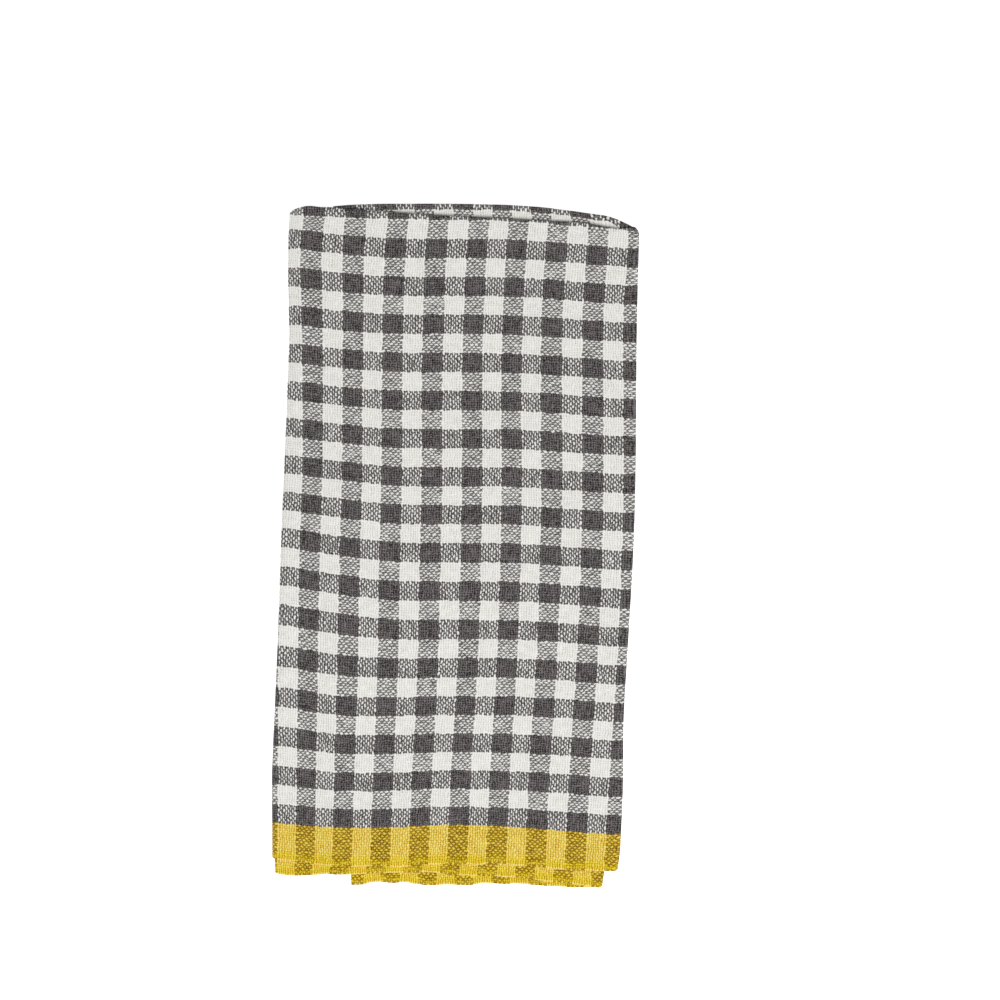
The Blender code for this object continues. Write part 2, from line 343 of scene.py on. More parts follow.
# x, then y of the lines v = -0.5, 0, 2, 4, 6, 8, 10, 12, 14 and 15.5 on the face panel.
WEFT_LINES = (
    (-86.0, 168.8, 161.6, 121.3, 81.6, 42.7, 4.2, -35.9, -79.5, -120.7, -150.9),
    (-60.0, 168.3, 158.9, 119.1, 79.3, 40.3, 1.1, -39.4, -82.7, -123.0, -151.9),
    (-30.0, 168.4, 158.1, 118.2, 78.3, 38.4, -1.3, -41.8, -82.8, -122.4, -151.0),
    (0.0, 169.0, 158.9, 119.1, 79.0, 39.0, -0.9, -41.2, -81.5, -120.3, -148.8),
    (30.0, 168.8, 159.3, 119.5, 79.5, 39.7, -0.1, -40.5, -80.5, -119.8, -148.5),
    (60.0, 167.6, 158.2, 118.5, 78.7, 38.8, -1.0, -41.1, -81.1, -120.2, -149.8),
    (86.0, 165.9, 156.7, 117.5, 77.5, 38.1, -2.1, -42.5, -82.3, -121.4, -151.0),
)
WEFT_PLACES = (-0.5, 0.0, 2.0, 4.0, 6.0, 8.0, 10.0, 12.0, 14.0, 15.5)
WEFT_PITCH = 20.3
OUTER_HEM_V = 16.5
INNER_HEM_V = -18.0
INNER_PANEL_LOOP_V = -0.86
BACK_PANEL_LOOP_V = -0.70
# Past the folds, the share of a panel over which the measured lines give way to even ones.
LINES_GIVE_WAY = 0.12


def straight_through(places, values, at):
    """Linear through the given points and on beyond the end ones."""
    inside = np.interp(at, values, places)
    before = places[0] + (at - values[0]) * (places[1] - places[0]) / (values[1] - values[0])
    after = places[-1] + (at - values[-1]) * (places[-1] - places[-2]) / (values[-1] - values[-2])
    return np.where(at < values[0], before, np.where(at > values[-1], after, inside))


parts = [part for part, share in columns]
face_first = parts.index("face")
face_last = parts.index("right fold")
outer_rows = len(EDGE_STEPS) + OUTER_LAYER_STEPS - 1
loop_rows = LOOP_STEPS + 1
row_count = middle.shape[1]

# v down each column: between the measured lines on the outer layer, by length elsewhere.
weave_v = np.zeros(middle.shape[:2])
down = np.linalg.norm(np.diff(middle, axis=1), axis=2)
length = np.concatenate([np.zeros((down.shape[0], 1)), np.cumsum(down, axis=1)], axis=1)
loop_middle = outer_rows + LOOP_STEPS // 2
for i, column in enumerate(columns):
    place = place_of(column)
    line_x = middle[i, :outer_rows, 0]
    lines = np.array([along(WEFT_LINES, 1 + k, line_x) for k in range(len(WEFT_PLACES))])
    hem_y = middle[i, 0, 1]
    v = np.empty(outer_rows)
    for j in range(outer_rows):
        ys = np.concatenate([[hem_y], lines[::-1, j]])
        vs = np.concatenate([[OUTER_HEM_V], np.array(WEFT_PLACES)[::-1]])
        order = np.argsort(ys)
        v[j] = straight_through(vs[order], ys[order], middle[i, j, 1])
    if place < 1.0 or place > 2.0:
        loop_v = INNER_PANEL_LOOP_V if place > 2.0 else BACK_PANEL_LOOP_V
        to_loop = length[i, loop_middle]
        even = OUTER_HEM_V + (loop_v - OUTER_HEM_V) * length[i, :outer_rows] / to_loop
        past_fold = place - 2.0 if place > 2.0 else 1.0 - place
        away = ease(past_fold / LINES_GIVE_WAY)
        v = v + (even - v) * away
    weave_v[i, :outer_rows] = v
    beyond = length[i, outer_rows:] - length[i, outer_rows - 1]
    loop_part = beyond[:loop_rows]
    weave_v[i, outer_rows:outer_rows + loop_rows] = v[-1] - loop_part / WEFT_PITCH
    start_v = v[-1] - loop_part[-1] / WEFT_PITCH
    rest = beyond[loop_rows:] - loop_part[-1]
    weave_v[i, outer_rows + loop_rows:] = start_v + (INNER_HEM_V - start_v) * rest / rest[-1]

# u across each row: between the measured lines on the face, by length on folds and panels.
weave_u = np.zeros(middle.shape[:2])
slip_share = (OUTER_TURN - turns[face_first]) / (2 * OUTER_TURN)
for j in range(row_count):
    x, y = middle[:, j, 0], middle[:, j, 1]
    face = slice(face_first, face_last + 1)
    slip = slip_share[j] * ease((LOOPS_Y - y[face]) / (LOOPS_Y - HEMS_Y))
    lines = np.array([
        along(WARP_LINES, 1 + k, y[face]) + INNER_SLIP[k] * slip for k in range(len(WARP_PLACES))
    ])
    weave_u[face, j] = [
        straight_through(np.array(WARP_PLACES), lines[:, i], x[face][i])
        for i in range(lines.shape[1])
    ]
    length_at = from_start[:, j]
    back = slice(0, face_first + 1)
    start_u = weave_u[face_first, j]
    back_share = length_at[back] / length_at[face_first]
    weave_u[back, j] = BACK_EDGE_U + (start_u - BACK_EDGE_U) * back_share
    beyond = slice(face_last, len(columns))
    inner = [i for i, part in enumerate(parts) if part == "inner"]
    knots = [length_at[face_last]]
    values = [weave_u[face_last, j]]
    for k, place in enumerate(INNER_PANEL_PLACES):
        line_x = along(INNER_PANEL_LINES, 1 + k, y[inner[-1]])
        knots.append(float(np.interp(-line_x, -x[inner], length_at[inner])))
        values.append(place)
    knots.append(length_at[-1])
    values.append(float(along(INNER_PANEL_LINES, 3, y[-1])))
    weave_u[beyond, j] = np.interp(length_at[beyond], knots, values)


# The cloth laid out flat in a square of 1024, part by part and each part once. The parts that
# show are given the most room. Columns: side of the cloth, first and last column and row of the
# mesh, then the part's left, low, right and high edge in the square.
LAID_OUT = (
    ("outer", 20, 150, 0, 171, 4, 4, 548, 1020),
    ("outer", 0, 20, 0, 171, 556, 4, 856, 604),
    ("outer", 150, 196, 0, 150, 864, 278, 934, 448),
    ("outer", 150, 196, 150, 171, 556, 700, 948, 756),
    ("outer", 0, 141, 171, 232, 864, 4, 1014, 152),
    ("outer", 141, 196, 171, 222, 942, 278, 1012, 448),
    ("outer", 141, 196, 222, 232, 556, 764, 1000, 828),
    ("inner", 0, 196, 0, 171, 864, 160, 1020, 270),
    ("inner", 0, 23, 171, 232, 864, 456, 914, 576),
    ("inner", 147, 196, 171, 232, 922, 456, 972, 576),
    ("inner", 23, 147, 171, 222, 980, 456, 1020, 576),
    ("inner", 23, 147, 222, 232, 556, 836, 1020, 900),
)
LAID_OUT_SIDE = 1024.0
RIM_LEFT, RIM_RIGHT, RIM_HIGH = 556, 1016, 4
RIM_LOWS = (910, 922, 934, 946)


def laid_out(side):
    """Place in the square of each corner of each face on one side of the cloth."""
    across_at = from_start.mean(axis=1)
    down_at = length.mean(axis=0)
    i, j = np.meshgrid(np.arange(len(across_at) - 1), np.arange(len(down_at) - 1), indexing="ij")
    corners_i = np.stack([i, i + 1, i + 1, i], axis=-1)
    corners_j = np.stack([j, j, j + 1, j + 1], axis=-1)
    places = np.zeros(i.shape + (4, 2))
    for name, i0, i1, j0, j1, x0, y0, x1, y1 in LAID_OUT:
        if name == side:
            x = (across_at[corners_i] - across_at[i0]) / (across_at[i1] - across_at[i0])
            y = (down_at[corners_j] - down_at[j0]) / (down_at[j1] - down_at[j0])
            part = np.stack([x0 + (x1 - x0) * x, y0 + (y1 - y0) * y], axis=-1) / LAID_OUT_SIDE
            inside = (i >= i0) & (i < i1) & (j >= j0) & (j < j1)
            places[inside] = part[inside]
    return places.reshape(-1, 4, 2)


def laid_out_rim(counts):
    """Place in the square of each corner of the narrow faces round the cloth's edge."""
    places = []
    for low, count in zip(RIM_LOWS, counts):
        x = RIM_LEFT + (RIM_RIGHT - RIM_LEFT) * np.arange(count + 1) / count
        a, b = x[:-1], x[1:]
        y0, y1 = np.full(count, low), np.full(count, low + RIM_HIGH)
        places.append(np.stack([np.stack([a, a, b, b], axis=-1),
                                np.stack([y0, y1, y1, y0], axis=-1)], axis=-1))
    return np.concatenate(places) / LAID_OUT_SIDE


def towel_mesh():
    """The cloth as one closed mesh, with its thread lines as one UV map and its flat lay-out
    as another."""
    across_count, down_count = middle.shape[:2]
    seat = np.array([SEAT_X, SEAT_Y, float(outer_side[:, :, 2].min())])
    seat[2] = min(seat[2], float(inner_side[:, :, 2].min()))
    points = np.concatenate([outer_side.reshape(-1, 3), inner_side.reshape(-1, 3)]) - seat
    index = np.arange(across_count * down_count).reshape(across_count, down_count)
    a, b = index[:-1, :-1], index[1:, :-1]
    c, d = index[1:, 1:], index[:-1, 1:]
    up = np.stack([a, b, c, d], axis=-1).reshape(-1, 4)
    offset = across_count * down_count
    low = np.stack([a, d, c, b], axis=-1).reshape(-1, 4) + offset
    rim = np.concatenate([index[:-1, 0], index[-1, :-1], index[:0:-1, -1], index[0, :0:-1]])
    following = np.roll(rim, -1)
    side = np.stack([rim, rim + offset, following + offset, following], axis=-1)
    faces = np.concatenate([up, low, side])
    mesh = bpy.data.meshes.new("towel_cloth")
    mesh.from_pydata((points * MM).tolist(), [], faces.tolist())
    weave = np.stack([weave_u, weave_v], axis=-1).reshape(-1, 2)
    both = np.concatenate([weave, weave])
    layer = mesh.uv_layers.new(name="threads")
    layer.uv.foreach_set("vector", both[faces.reshape(-1)].astype(np.float32).ravel())
    flat = np.concatenate([
        laid_out("outer"),
        laid_out("inner")[:, (0, 3, 2, 1)],
        laid_out_rim((across_count - 1, down_count - 1, across_count - 1, down_count - 1)),
    ])
    layer = mesh.uv_layers.new(name="OFBake")
    layer.uv.foreach_set("vector", flat.astype(np.float32).ravel())
    mesh.validate()
    mesh.shade_smooth()
    return mesh


towel = bpy.data.objects.new("towel_cloth", towel_mesh())
bpy.context.scene.collection.objects.link(towel)

# The cloth's finish: matt cotton yarn, dyed before it was woven, in a plain weave, one over
# and one under. To the eye each thread is a row of small crowns, light on top and darker
# where it dives under; where dark and light yarns cross they show as staggered dashes.
# A pair of stripes is 16 threads and WEFT_PITCH long, so threads lie about 1.27 mm apart.
THREADS_A_PAIR = 16.0
# Of each yarn's two colours, the lighter is a painted highlight on crowns and the darker painted
# shade in gaps; both also vary by chance.
WHITE = "#F8F7F3"
WHITE_SHADE = "#F1F0EC"
CHARCOAL_LINT_AND_HIGHLIGHT = "#837D7C"
CHARCOAL_DEEP = "#1A1615"
MUSTARD = "#F4DE5A"
MUSTARD_DEEP = "#DCB502"
WHITE_IN_MUSTARD = "#F9EA9A"
WHITE_SHADE_IN_MUSTARD = "#F3DC66"
CHARCOAL_IN_MUSTARD = "#B48E28"
CHARCOAL_DEEP_IN_MUSTARD = "#6E4E02"
THREAD_TONE = 0.15
YARN_ROUGHNESS = 0.85
YARN_SPECULAR = 0.2
FUZZ_SHEEN = 0.05
FUZZ_ROUGHNESS = 0.5
THREAD_RELIEF = 0.15 * MM
RELIEF_STRENGTH = 0.5


def linear(hex_colour):
    """Linear RGBA of an sRGB hex colour."""
    channels = [int(hex_colour[i:i + 2], 16) / 255 for i in (1, 3, 5)]
    return [c / 12.92 if c <= 0.04045 else ((c + 0.055) / 1.055) ** 2.4 for c in channels] + [1.0]


cotton = bpy.data.materials.new("woven_check_cotton")
cotton.use_nodes = True
tree = cotton.node_tree
tree.nodes.clear()


def add(kind, into=None, **settings):
    """Add a node with its settings; into gives each input a value or another node's output."""
    made = tree.nodes.new(kind)
    for name, value in settings.items():
        setattr(made, name, value)
    for socket, value in (into or {}).items():
        if isinstance(value, bpy.types.Node):
            value = value.outputs[0]
        if isinstance(value, bpy.types.NodeSocket):
            tree.links.new(value, made.inputs[socket])
        else:
            made.inputs[socket].default_value = value
    return made


# Thread coordinates: whole numbers are the gaps between threads, x across and y along.
# The threads of a coarse cloth don't lie quite straight, so the map wanders a little.
WANDER = 0.085
WANDERS_A_PAIR = 5.6
lines = add("ShaderNodeUVMap", uv_map="threads")
wander = add("ShaderNodeTexNoise", {"Vector": lines, "Scale": WANDERS_A_PAIR, "Detail": 2.0},
             noise_dimensions="2D")
centred = add("ShaderNodeVectorMath", {0: wander.outputs["Color"], 1: (0.5, 0.5, 0.5)},
              operation="SUBTRACT")
wandered = add("ShaderNodeVectorMath", {0: centred, 1: (WANDER, WANDER, 0.0), 2: lines},
               operation="MULTIPLY_ADD")
threads = add("ShaderNodeVectorMath", {0: wandered, 1: (THREADS_A_PAIR, THREADS_A_PAIR, 0.0)},
              operation="MULTIPLY")
number = add("ShaderNodeVectorMath", {0: threads}, operation="FLOOR")
within = add("ShaderNodeVectorMath", {0: threads, 1: number}, operation="SUBTRACT")
within = add("ShaderNodeVectorMath", {0: within, 1: (0.5, 0.5, 0.0)}, operation="SUBTRACT")
number_xy = add("ShaderNodeSeparateXYZ", {0: number})
thread_xy = add("ShaderNodeSeparateXYZ", {0: threads})
within_xy = add("ShaderNodeSeparateXYZ", {0: within})

# Over or under: 1 where the warp thread lies on top at this crossing, -1 where the weft does.
crossing = add("ShaderNodeMath", {0: number_xy.outputs[0], 1: number_xy.outputs[1]},
               operation="ADD")
parity = add("ShaderNodeMath", {0: crossing, 1: 1.0}, operation="PINGPONG")
over = add("ShaderNodeMath", {0: parity, 1: -2.0, 2: 1.0}, operation="MULTIPLY_ADD")
angle = add("ShaderNodeVectorMath", {0: within, 1: (math.pi, math.pi, 0.0)}, operation="MULTIPLY")
crown = add("ShaderNodeVectorMath", {0: angle}, operation="COSINE")
crown_xy = add("ShaderNodeSeparateXYZ", {0: crown})

# Uneven yarn: each thread swells and thins along its length, and its tone changes with it.
# Each thread reads the noise at a line of its own, well away from its neighbours'.
SLUBS_A_THREAD = 0.3
NEXT_WARP = 3.7
NEXT_WEFT = 5.3
warp_at = add("ShaderNodeVectorMath", {0: threads, 1: (0.0, SLUBS_A_THREAD, 0.0)},
              operation="MULTIPLY")
warp_at = add("ShaderNodeVectorMath", {0: number, 1: (NEXT_WARP, 0.0, 0.0), 2: warp_at},
              operation="MULTIPLY_ADD")
weft_at = add("ShaderNodeVectorMath", {0: threads, 1: (SLUBS_A_THREAD, 0.0, 0.0)},
              operation="MULTIPLY")
weft_at = add("ShaderNodeVectorMath", {0: number, 1: (0.0, NEXT_WEFT, 0.0), 2: weft_at},
              operation="MULTIPLY_ADD")
warp_slubs = add("ShaderNodeTexNoise", {"Vector": warp_at, "Scale": 1.0, "Detail": 0.0},
                 noise_dimensions="2D")
weft_slubs = add("ShaderNodeTexNoise", {"Vector": weft_at, "Scale": 1.0, "Detail": 0.0},
                 noise_dimensions="2D")

# Along the cloth: where it is mustard, and how near the turned hem's edge, both counted in
# pairs from the middle line of the cloth, which is at v = -0.75.
BORDER_MIDDLE = 0.75
BORDER_FROM = 16.25
EDGE_FROM_MIDDLE = 17.25
v_of = add("ShaderNodeMath", {0: number_xy.outputs[1], 1: 1.0 / THREADS_A_PAIR,
                              2: 0.5 / THREADS_A_PAIR + BORDER_MIDDLE}, operation="MULTIPLY_ADD")
v_far = add("ShaderNodeMath", {0: v_of}, operation="ABSOLUTE")
is_border = add("ShaderNodeMath", {0: v_far, 1: BORDER_FROM}, operation="GREATER_THAN")
v_exact = add("ShaderNodeMath", {0: thread_xy.outputs[1], 1: 1.0 / THREADS_A_PAIR,
                                 2: BORDER_MIDDLE}, operation="MULTIPLY_ADD")
v_exact = add("ShaderNodeMath", {0: v_exact}, operation="ABSOLUTE")
to_edge = add("ShaderNodeMath", {0: EDGE_FROM_MIDDLE, 1: v_exact}, operation="SUBTRACT")

# Height of each thread: its wave over and under, its round section, and its slubs. The weft
# leans a little at each crossing, which gives the check its faint slanting lines. The mustard
# weft lies straight.
CRIMP = 0.36
WARP_ROUND = -5.2
WEFT_ROUND = -4.6
WEFT_LEAN = 0.32
SLUB = 0.8
warp_across = add("ShaderNodeMath", {0: within_xy.outputs[0], 1: within_xy.outputs[0]},
                  operation="MULTIPLY")
warp_wave = add("ShaderNodeMath", {0: over, 1: crown_xy.outputs[1]}, operation="MULTIPLY")
warp_wave = add("ShaderNodeMath", {0: warp_wave, 1: CRIMP, 2: 1.0 - SLUB / 2},
                operation="MULTIPLY_ADD")
warp_round = add("ShaderNodeMath", {0: warp_across, 1: WARP_ROUND, 2: warp_wave},
                 operation="MULTIPLY_ADD")
warp_height = add("ShaderNodeMath", {0: warp_slubs.outputs["Fac"], 1: SLUB, 2: warp_round},
                  operation="MULTIPLY_ADD")
lean = add("ShaderNodeMath", {0: is_border, 1: -WEFT_LEAN, 2: WEFT_LEAN},
           operation="MULTIPLY_ADD")
weft_lean = add("ShaderNodeMath", {0: within_xy.outputs[0], 1: lean, 2: within_xy.outputs[1]},
                operation="MULTIPLY_ADD")
weft_across = add("ShaderNodeMath", {0: weft_lean, 1: weft_lean}, operation="MULTIPLY")
weft_wave = add("ShaderNodeMath", {0: over, 1: crown_xy.outputs[0]}, operation="MULTIPLY")
weft_wave = add("ShaderNodeMath", {0: weft_wave, 1: -CRIMP, 2: 1.0 - SLUB / 2},
                operation="MULTIPLY_ADD")
weft_round = add("ShaderNodeMath", {0: weft_across, 1: WEFT_ROUND, 2: weft_wave},
                 operation="MULTIPLY_ADD")
weft_height = add("ShaderNodeMath", {0: weft_slubs.outputs["Fac"], 1: SLUB, 2: weft_round},
                  operation="MULTIPLY_ADD")

# Which of the two yarns each thread is: a light one in the upper half of its pair.
pair_at = add("ShaderNodeVectorMath", {0: number, 1: (1.0 / THREADS_A_PAIR,) * 3,
                                       2: (0.5 / THREADS_A_PAIR,) * 3}, operation="MULTIPLY_ADD")
pair_at = add("ShaderNodeVectorMath", {0: pair_at}, operation="FRACTION")
pair_xy = add("ShaderNodeSeparateXYZ", {0: pair_at})
light_warp = add("ShaderNodeMath", {0: pair_xy.outputs[0], 1: 0.5}, operation="GREATER_THAN")
light_weft = add("ShaderNodeMath", {0: pair_xy.outputs[1], 1: 0.5}, operation="GREATER_THAN")

# How much more of the weft shows than of the warp. It changes a little from place to place with
# the tension in the loom, and charcoal yarn is a little fuller than white. Over the turned hem
# more weft shows, and on the very edge the warp rides over the turn and shows again. How near
# the edge that is, is counted in pairs: all of it up to the first number, none from the second.
WEFT_LEAD = 0.24
CHARCOAL_LEAD = 0.08
TENSION = 0.5
TENSIONS_A_PAIR = 0.9
BORDER_LEAD = -0.12
HEM_LEAD = 0.7
LIGHT_ON_EDGE = 1.9
DARK_ON_EDGE = 0.76
TURNED_IN = (0.07, 0.2)
ON_EDGE = (0.023, 0.058)
turned_in = add("ShaderNodeMapRange", {"Value": to_edge, "From Min": TURNED_IN[0],
                                       "From Max": TURNED_IN[1], "To Min": 1.0, "To Max": 0.0},
                interpolation_type="SMOOTHSTEP")
on_edge = add("ShaderNodeMapRange", {"Value": to_edge, "From Min": ON_EDGE[0],
                                     "From Max": ON_EDGE[1], "To Min": 1.0, "To Max": 0.0},
              interpolation_type="SMOOTHSTEP")
edge_share = add("ShaderNodeMath", {0: light_warp, 1: LIGHT_ON_EDGE - DARK_ON_EDGE,
                                    2: DARK_ON_EDGE}, operation="MULTIPLY_ADD")
edge_show = add("ShaderNodeMath", {0: on_edge, 1: edge_share}, operation="MULTIPLY")
lead = add("ShaderNodeMath", {0: turned_in, 1: HEM_LEAD}, operation="MULTIPLY")
lead = add("ShaderNodeMath", {0: lead, 1: edge_show}, operation="SUBTRACT")
lead = add("ShaderNodeMath", {0: is_border, 1: BORDER_LEAD, 2: lead}, operation="MULTIPLY_ADD")
lead = add("ShaderNodeMath", {0: lead, 1: WEFT_LEAD - TENSION}, operation="ADD")
tension_broad = add("ShaderNodeTexNoise", {"Vector": lines, "Scale": TENSIONS_A_PAIR,
                                           "Detail": 0.0}, noise_dimensions="2D")
tension_near = add("ShaderNodeSeparateColor", {0: wander.outputs["Color"]})
tension = add("ShaderNodeMath", {0: tension_broad.outputs["Fac"], 1: tension_near.outputs[2]},
              operation="ADD")
lead = add("ShaderNodeMath", {0: tension, 1: TENSION, 2: lead}, operation="MULTIPLY_ADD")
charcoal_lead = add("ShaderNodeMath", {0: is_border, 1: -CHARCOAL_LEAD, 2: CHARCOAL_LEAD},
                    operation="MULTIPLY_ADD")
fuller = add("ShaderNodeMath", {0: light_warp, 1: light_weft}, operation="SUBTRACT")
lead = add("ShaderNodeMath", {0: fuller, 1: charcoal_lead, 2: lead}, operation="MULTIPLY_ADD")
difference = add("ShaderNodeMath", {0: weft_height, 1: warp_height}, operation="SUBTRACT")
difference = add("ShaderNodeMath", {0: difference, 1: lead}, operation="ADD")

# The mustard yarn is softer and fills its crossings, so the border shows a lattice of diamonds.
# Threads pass from one to the next over a short blur, and a thin yarn never hides all below it.
SOFT_YARN = 0.6
CROSSING_BLUR = 0.2
YARN_THINNESS = 0.04
spread = add("ShaderNodeMath", {0: weft_across, 1: -WEFT_ROUND * SOFT_YARN}, operation="MULTIPLY")
spread = add("ShaderNodeMath", {0: warp_across, 1: WARP_ROUND * SOFT_YARN, 2: spread},
             operation="MULTIPLY_ADD")
difference = add("ShaderNodeMath", {0: is_border, 1: spread, 2: difference},
                 operation="MULTIPLY_ADD")
weft_shows = add("ShaderNodeMapRange", {
    "Value": difference, "From Min": -CROSSING_BLUR, "From Max": CROSSING_BLUR,
    "To Min": YARN_THINNESS, "To Max": 1.0 - YARN_THINNESS,
})

# Crowns see all the light and the gaps between threads little of it. The light warp stands
# out in fine ribs, as all the warp does over the turned hem.
RIB_OF_LIGHT_WARP = 0.3
RIB_AT_HEM = 0.3
GAP_HEIGHT = 0.1
CROWN_HEIGHT = 1.42
LIGHT_IN_GAPS = 0.16
height = add("ShaderNodeMath", {0: warp_height, 1: weft_height}, operation="MAXIMUM")
cord = add("ShaderNodeMath", {0: warp_across, 1: WARP_ROUND, 2: 1.0 + CRIMP},
           operation="MULTIPLY_ADD")
rib = add("ShaderNodeMath", {0: turned_in, 1: RIB_AT_HEM}, operation="MULTIPLY")
rib = add("ShaderNodeMath", {0: light_warp, 1: RIB_OF_LIGHT_WARP, 2: rib},
          operation="MULTIPLY_ADD")
height = add("ShaderNodeMix", {"Factor": rib, 2: height, 3: cord})
open_to_light = add("ShaderNodeMapRange", {"Value": height, "From Min": GAP_HEIGHT,
                                           "From Max": CROWN_HEIGHT, "To Min": LIGHT_IN_GAPS,
                                           "To Max": 1.0}, interpolation_type="SMOOTHSTEP")

# Fibres: fine streaks along each yarn and a chance lightness at each crossing. And painted light:
# a painted highlight on the crowns and painted shade in the gaps, counted from their mean height.
STREAKS_ACROSS = 7.0
STREAKS_ALONG = 1.6
FIBRE = 3.0
CHANCE = 0.5
CROWN_HIGHLIGHT = 1.5
MEAN_CROWN = 0.66
warp_grain_at = add("ShaderNodeVectorMath", {0: threads, 1: (STREAKS_ACROSS, STREAKS_ALONG, 0.0)},
                    operation="MULTIPLY")
weft_grain_at = add("ShaderNodeVectorMath", {0: threads, 1: (STREAKS_ALONG, STREAKS_ACROSS, 0.0)},
                    operation="MULTIPLY")
warp_grain = add("ShaderNodeTexNoise", {"Vector": warp_grain_at, "Scale": 1.0, "Detail": 0.0},
                 noise_dimensions="2D")
weft_grain = add("ShaderNodeTexNoise", {"Vector": weft_grain_at, "Scale": 1.0, "Detail": 0.0},
                 noise_dimensions="2D")
chance = add("ShaderNodeTexWhiteNoise", {"Vector": number}, noise_dimensions="2D")
chance_and_highlight = add("ShaderNodeMath", {0: chance.outputs["Value"], 1: CHANCE,
                                     2: 0.5 - (FIBRE + CHANCE) / 2 - CROWN_HIGHLIGHT * MEAN_CROWN},
                  operation="MULTIPLY_ADD")
# Painted light: high crowns are drawn lighter, low ones and the gaps between threads darker.
chance_and_highlight = add("ShaderNodeMath", {0: open_to_light, 1: CROWN_HIGHLIGHT, 2: chance_and_highlight},
                  operation="MULTIPLY_ADD")

# Colours of the two threads that cross here, each between a darker and a lighter colour of its
# fibres: lighter on high crowns as a painted highlight, darker in the gaps as painted shade. In the
# border the warp yarns take on the mustard that shines through and round them.
coloured = []
for grain, slubs, is_light in ((warp_grain, warp_slubs, light_warp),
                               (weft_grain, weft_slubs, light_weft)):
    fibre_and_highlight = add("ShaderNodeMath", {0: grain.outputs["Fac"], 1: FIBRE, 2: chance_and_highlight},
                operation="MULTIPLY_ADD", use_clamp=True)
    dark = add("ShaderNodeMix", {"Factor": fibre_and_highlight, 6: linear(CHARCOAL_DEEP),
                                 7: linear(CHARCOAL_LINT_AND_HIGHLIGHT)}, data_type="RGBA")
    light = add("ShaderNodeMix", {"Factor": fibre_and_highlight, 6: linear(WHITE_SHADE), 7: linear(WHITE)},
                data_type="RGBA")
    yarn = add("ShaderNodeMix", {"Factor": is_light, 6: dark.outputs[2], 7: light.outputs[2]},
               data_type="RGBA")
    if slubs is warp_slubs:
        dark = add("ShaderNodeMix", {"Factor": fibre_and_highlight, 6: linear(CHARCOAL_DEEP_IN_MUSTARD),
                                     7: linear(CHARCOAL_IN_MUSTARD)}, data_type="RGBA")
        light = add("ShaderNodeMix", {"Factor": fibre_and_highlight, 6: linear(WHITE_SHADE_IN_MUSTARD),
                                      7: linear(WHITE_IN_MUSTARD)}, data_type="RGBA")
        border = add("ShaderNodeMix", {"Factor": is_light, 6: dark.outputs[2],
                                       7: light.outputs[2]}, data_type="RGBA")
    else:
        border = add("ShaderNodeMix", {"Factor": fibre_and_highlight, 6: linear(MUSTARD_DEEP),
                                       7: linear(MUSTARD)}, data_type="RGBA")
    yarn = add("ShaderNodeMix", {"Factor": is_border, 6: yarn.outputs[2], 7: border.outputs[2]},
               data_type="RGBA")
    tone_xyz = add("ShaderNodeSeparateColor", {0: slubs.outputs["Color"]})
    tone = add("ShaderNodeMath", {0: tone_xyz.outputs[1], 1: THREAD_TONE, 2: 1.0 - THREAD_TONE / 2},
               operation="MULTIPLY_ADD")
    coloured.append(add("ShaderNodeVectorMath", {0: yarn.outputs[2], "Scale": tone},
                        operation="SCALE"))
warp_colour, weft_colour = coloured
on_top = add("ShaderNodeMix", {"Factor": weft_shows, 6: warp_colour, 7: weft_colour},
             data_type="RGBA")

# In light yarn, light passed on from thread to thread fills the gaps again, and takes the
# mean colour of the two yarns. Where they differ, the dark one swallows most of it.
both_colours = add("ShaderNodeVectorMath", {0: warp_colour, 1: weft_colour}, operation="MULTIPLY")
round_about = add("ShaderNodeGamma", {"Color": both_colours, "Gamma": 0.5})
hidden = add("ShaderNodeMath", {0: open_to_light, 1: 1.0}, operation="SUBTRACT")
passed_on = add("ShaderNodeVectorMath", {0: round_about, "Scale": hidden},
                operation="SCALE")
kept = add("ShaderNodeVectorMath", {0: passed_on, 1: (1.0, 1.0, 1.0)}, operation="ADD")
direct = add("ShaderNodeVectorMath", {0: on_top.outputs[2], "Scale": open_to_light},
             operation="SCALE")
shown = add("ShaderNodeVectorMath", {0: direct, 1: kept}, operation="DIVIDE")

# Where the hem is doubled the mustard is at its fullest, with no white shining through, but
# for its very edge.
FULL_MUSTARD = 0.6
DOUBLED = (0.14, 0.37)
doubled = add("ShaderNodeMapRange", {"Value": to_edge, "From Min": DOUBLED[0],
                                     "From Max": DOUBLED[1], "To Min": 1.0 - FULL_MUSTARD,
                                     "To Max": 1.0}, interpolation_type="SMOOTHSTEP")
doubled = add("ShaderNodeMath", {0: on_edge, 1: FULL_MUSTARD, 2: doubled}, operation="MULTIPLY_ADD")
full = add("ShaderNodeCombineXYZ", {0: 1.0, 1: 1.0, 2: doubled})
shown = add("ShaderNodeVectorMath", {0: shown, 1: full}, operation="MULTIPLY")

raised = add("ShaderNodeBump", {"Height": height, "Distance": THREAD_RELIEF,
                                "Strength": RELIEF_STRENGTH})
cloth_shader = add("ShaderNodeBsdfPrincipled", {
    "Base Color": shown, "Roughness": YARN_ROUGHNESS, "Normal": raised,
    "Specular IOR Level": YARN_SPECULAR, "Sheen Weight": FUZZ_SHEEN,
    "Sheen Roughness": FUZZ_ROUGHNESS,
})
add("ShaderNodeOutputMaterial", {"Surface": cloth_shader})
towel.data.materials.append(cotton)

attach(towel, "root")
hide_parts("tea_towel")

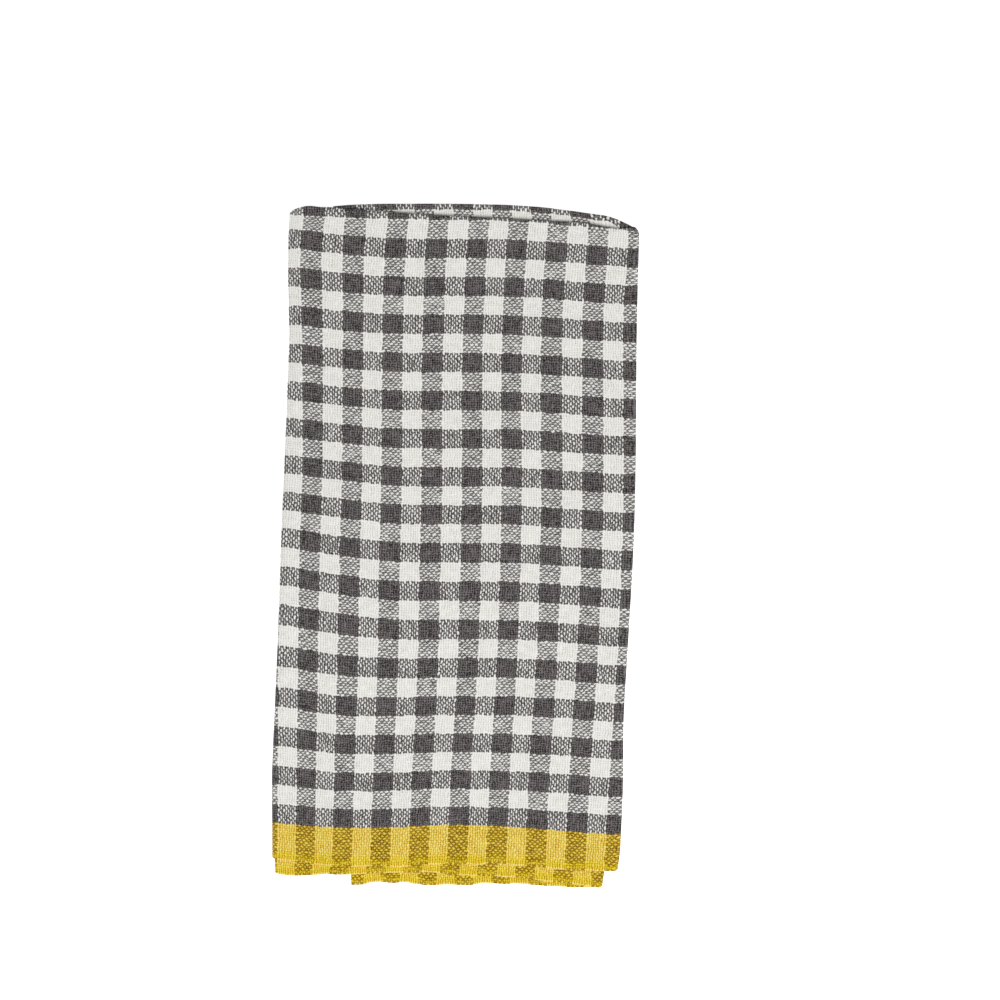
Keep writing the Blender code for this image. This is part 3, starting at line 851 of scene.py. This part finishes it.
# ------------------------------------------------------------------------------------------
# The table: a plain white sheet under the towel, matt paper, big enough to have no edge in
# sight, and lit from below so that it is white right up to the cloth. It is not part of the
# object.
# ------------------------------------------------------------------------------------------
# The sizes of the table, the light and the camera are in metres.
FLOOR_SIDE = 6.0
FLOOR_DROP = 0.0002
PAPER = "#FBFBFB"
PAPER_GLOW = "#FFFFFF"
GLOW_STRENGTH = 0.75
half_floor = FLOOR_SIDE / 2
floor_mesh = bpy.data.meshes.new("floor")
floor_mesh.from_pydata(
    [(-half_floor, -half_floor, -FLOOR_DROP), (half_floor, -half_floor, -FLOOR_DROP),
     (half_floor, half_floor, -FLOOR_DROP), (-half_floor, half_floor, -FLOOR_DROP)],
    [], [(0, 1, 2, 3)])
floor = bpy.data.objects.new("floor", floor_mesh)
bpy.context.scene.collection.objects.link(floor)
paper = bpy.data.materials.new("matt_white_paper")
paper.use_nodes = True
paper_shader = paper.node_tree.nodes["Principled BSDF"]
paper_shader.inputs["Base Color"].default_value = linear(PAPER)
paper_shader.inputs["Roughness"].default_value = 1.0
paper_shader.inputs["Specular IOR Level"].default_value = 0.0
paper_shader.inputs["Emission Color"].default_value = linear(PAPER_GLOW)
paper_shader.inputs["Emission Strength"].default_value = GLOW_STRENGTH
floor_mesh.materials.append(paper)

# ------------------------------------------------------------------------------------------
# The light: a white tent all round and one large soft lamp overhead, a little towards the
# towel's hems, so that folds and threads show without a hard shadow.
# ------------------------------------------------------------------------------------------
TENT_STRENGTH = 0.3
LAMP_POWER = 92.0
LAMP_SIZE = 2.0
LAMP_PLACE = (0.5, -1.4, 3.2)
tent = bpy.data.worlds.new("tent")
bpy.context.scene.world = tent
tent.use_nodes = True
tent.node_tree.nodes["Background"].inputs["Color"].default_value = (1.0, 1.0, 1.0, 1.0)
tent.node_tree.nodes["Background"].inputs["Strength"].default_value = TENT_STRENGTH
lamp_data = bpy.data.lights.new("softbox", "AREA")
lamp_data.shape = "SQUARE"
lamp_data.size = LAMP_SIZE
lamp_data.energy = LAMP_POWER
lamp = bpy.data.objects.new("softbox", lamp_data)
lamp.location = LAMP_PLACE
lamp.rotation_euler = (-lamp.location).to_track_quat("-Z", "Y").to_euler()
bpy.context.scene.collection.objects.link(lamp)

# ------------------------------------------------------------------------------------------
# The camera: straight above, as the photo was taken, a long lens from 1.5 m, turned so that
# the towel lies 1.75 degrees clockwise in the picture.
# ------------------------------------------------------------------------------------------
CAMERA_HEIGHT = 1.5
PICTURE_WIDTH = 0.525
CLOTH_TOP = 0.008
SENSOR_WIDTH = 36.0
CAMERA_TURN = 1.75
# In millimetres, counted as the towel's tables are.
PICTURE_MIDDLE_X = 24.5
PICTURE_MIDDLE_Y = 22.55
camera_data = bpy.data.cameras.new("camera")
camera_data.sensor_width = SENSOR_WIDTH
camera_data.lens = SENSOR_WIDTH * (CAMERA_HEIGHT - CLOTH_TOP) / PICTURE_WIDTH
camera = bpy.data.objects.new("camera", camera_data)
camera.location = ((PICTURE_MIDDLE_X - SEAT_X) * MM, (PICTURE_MIDDLE_Y - SEAT_Y) * MM,
                   CAMERA_HEIGHT)
camera.rotation_euler = (0.0, 0.0, math.radians(CAMERA_TURN))
bpy.context.scene.collection.objects.link(camera)
bpy.context.scene.camera = camera
bpy.context.scene.view_settings.view_transform = "Standard"
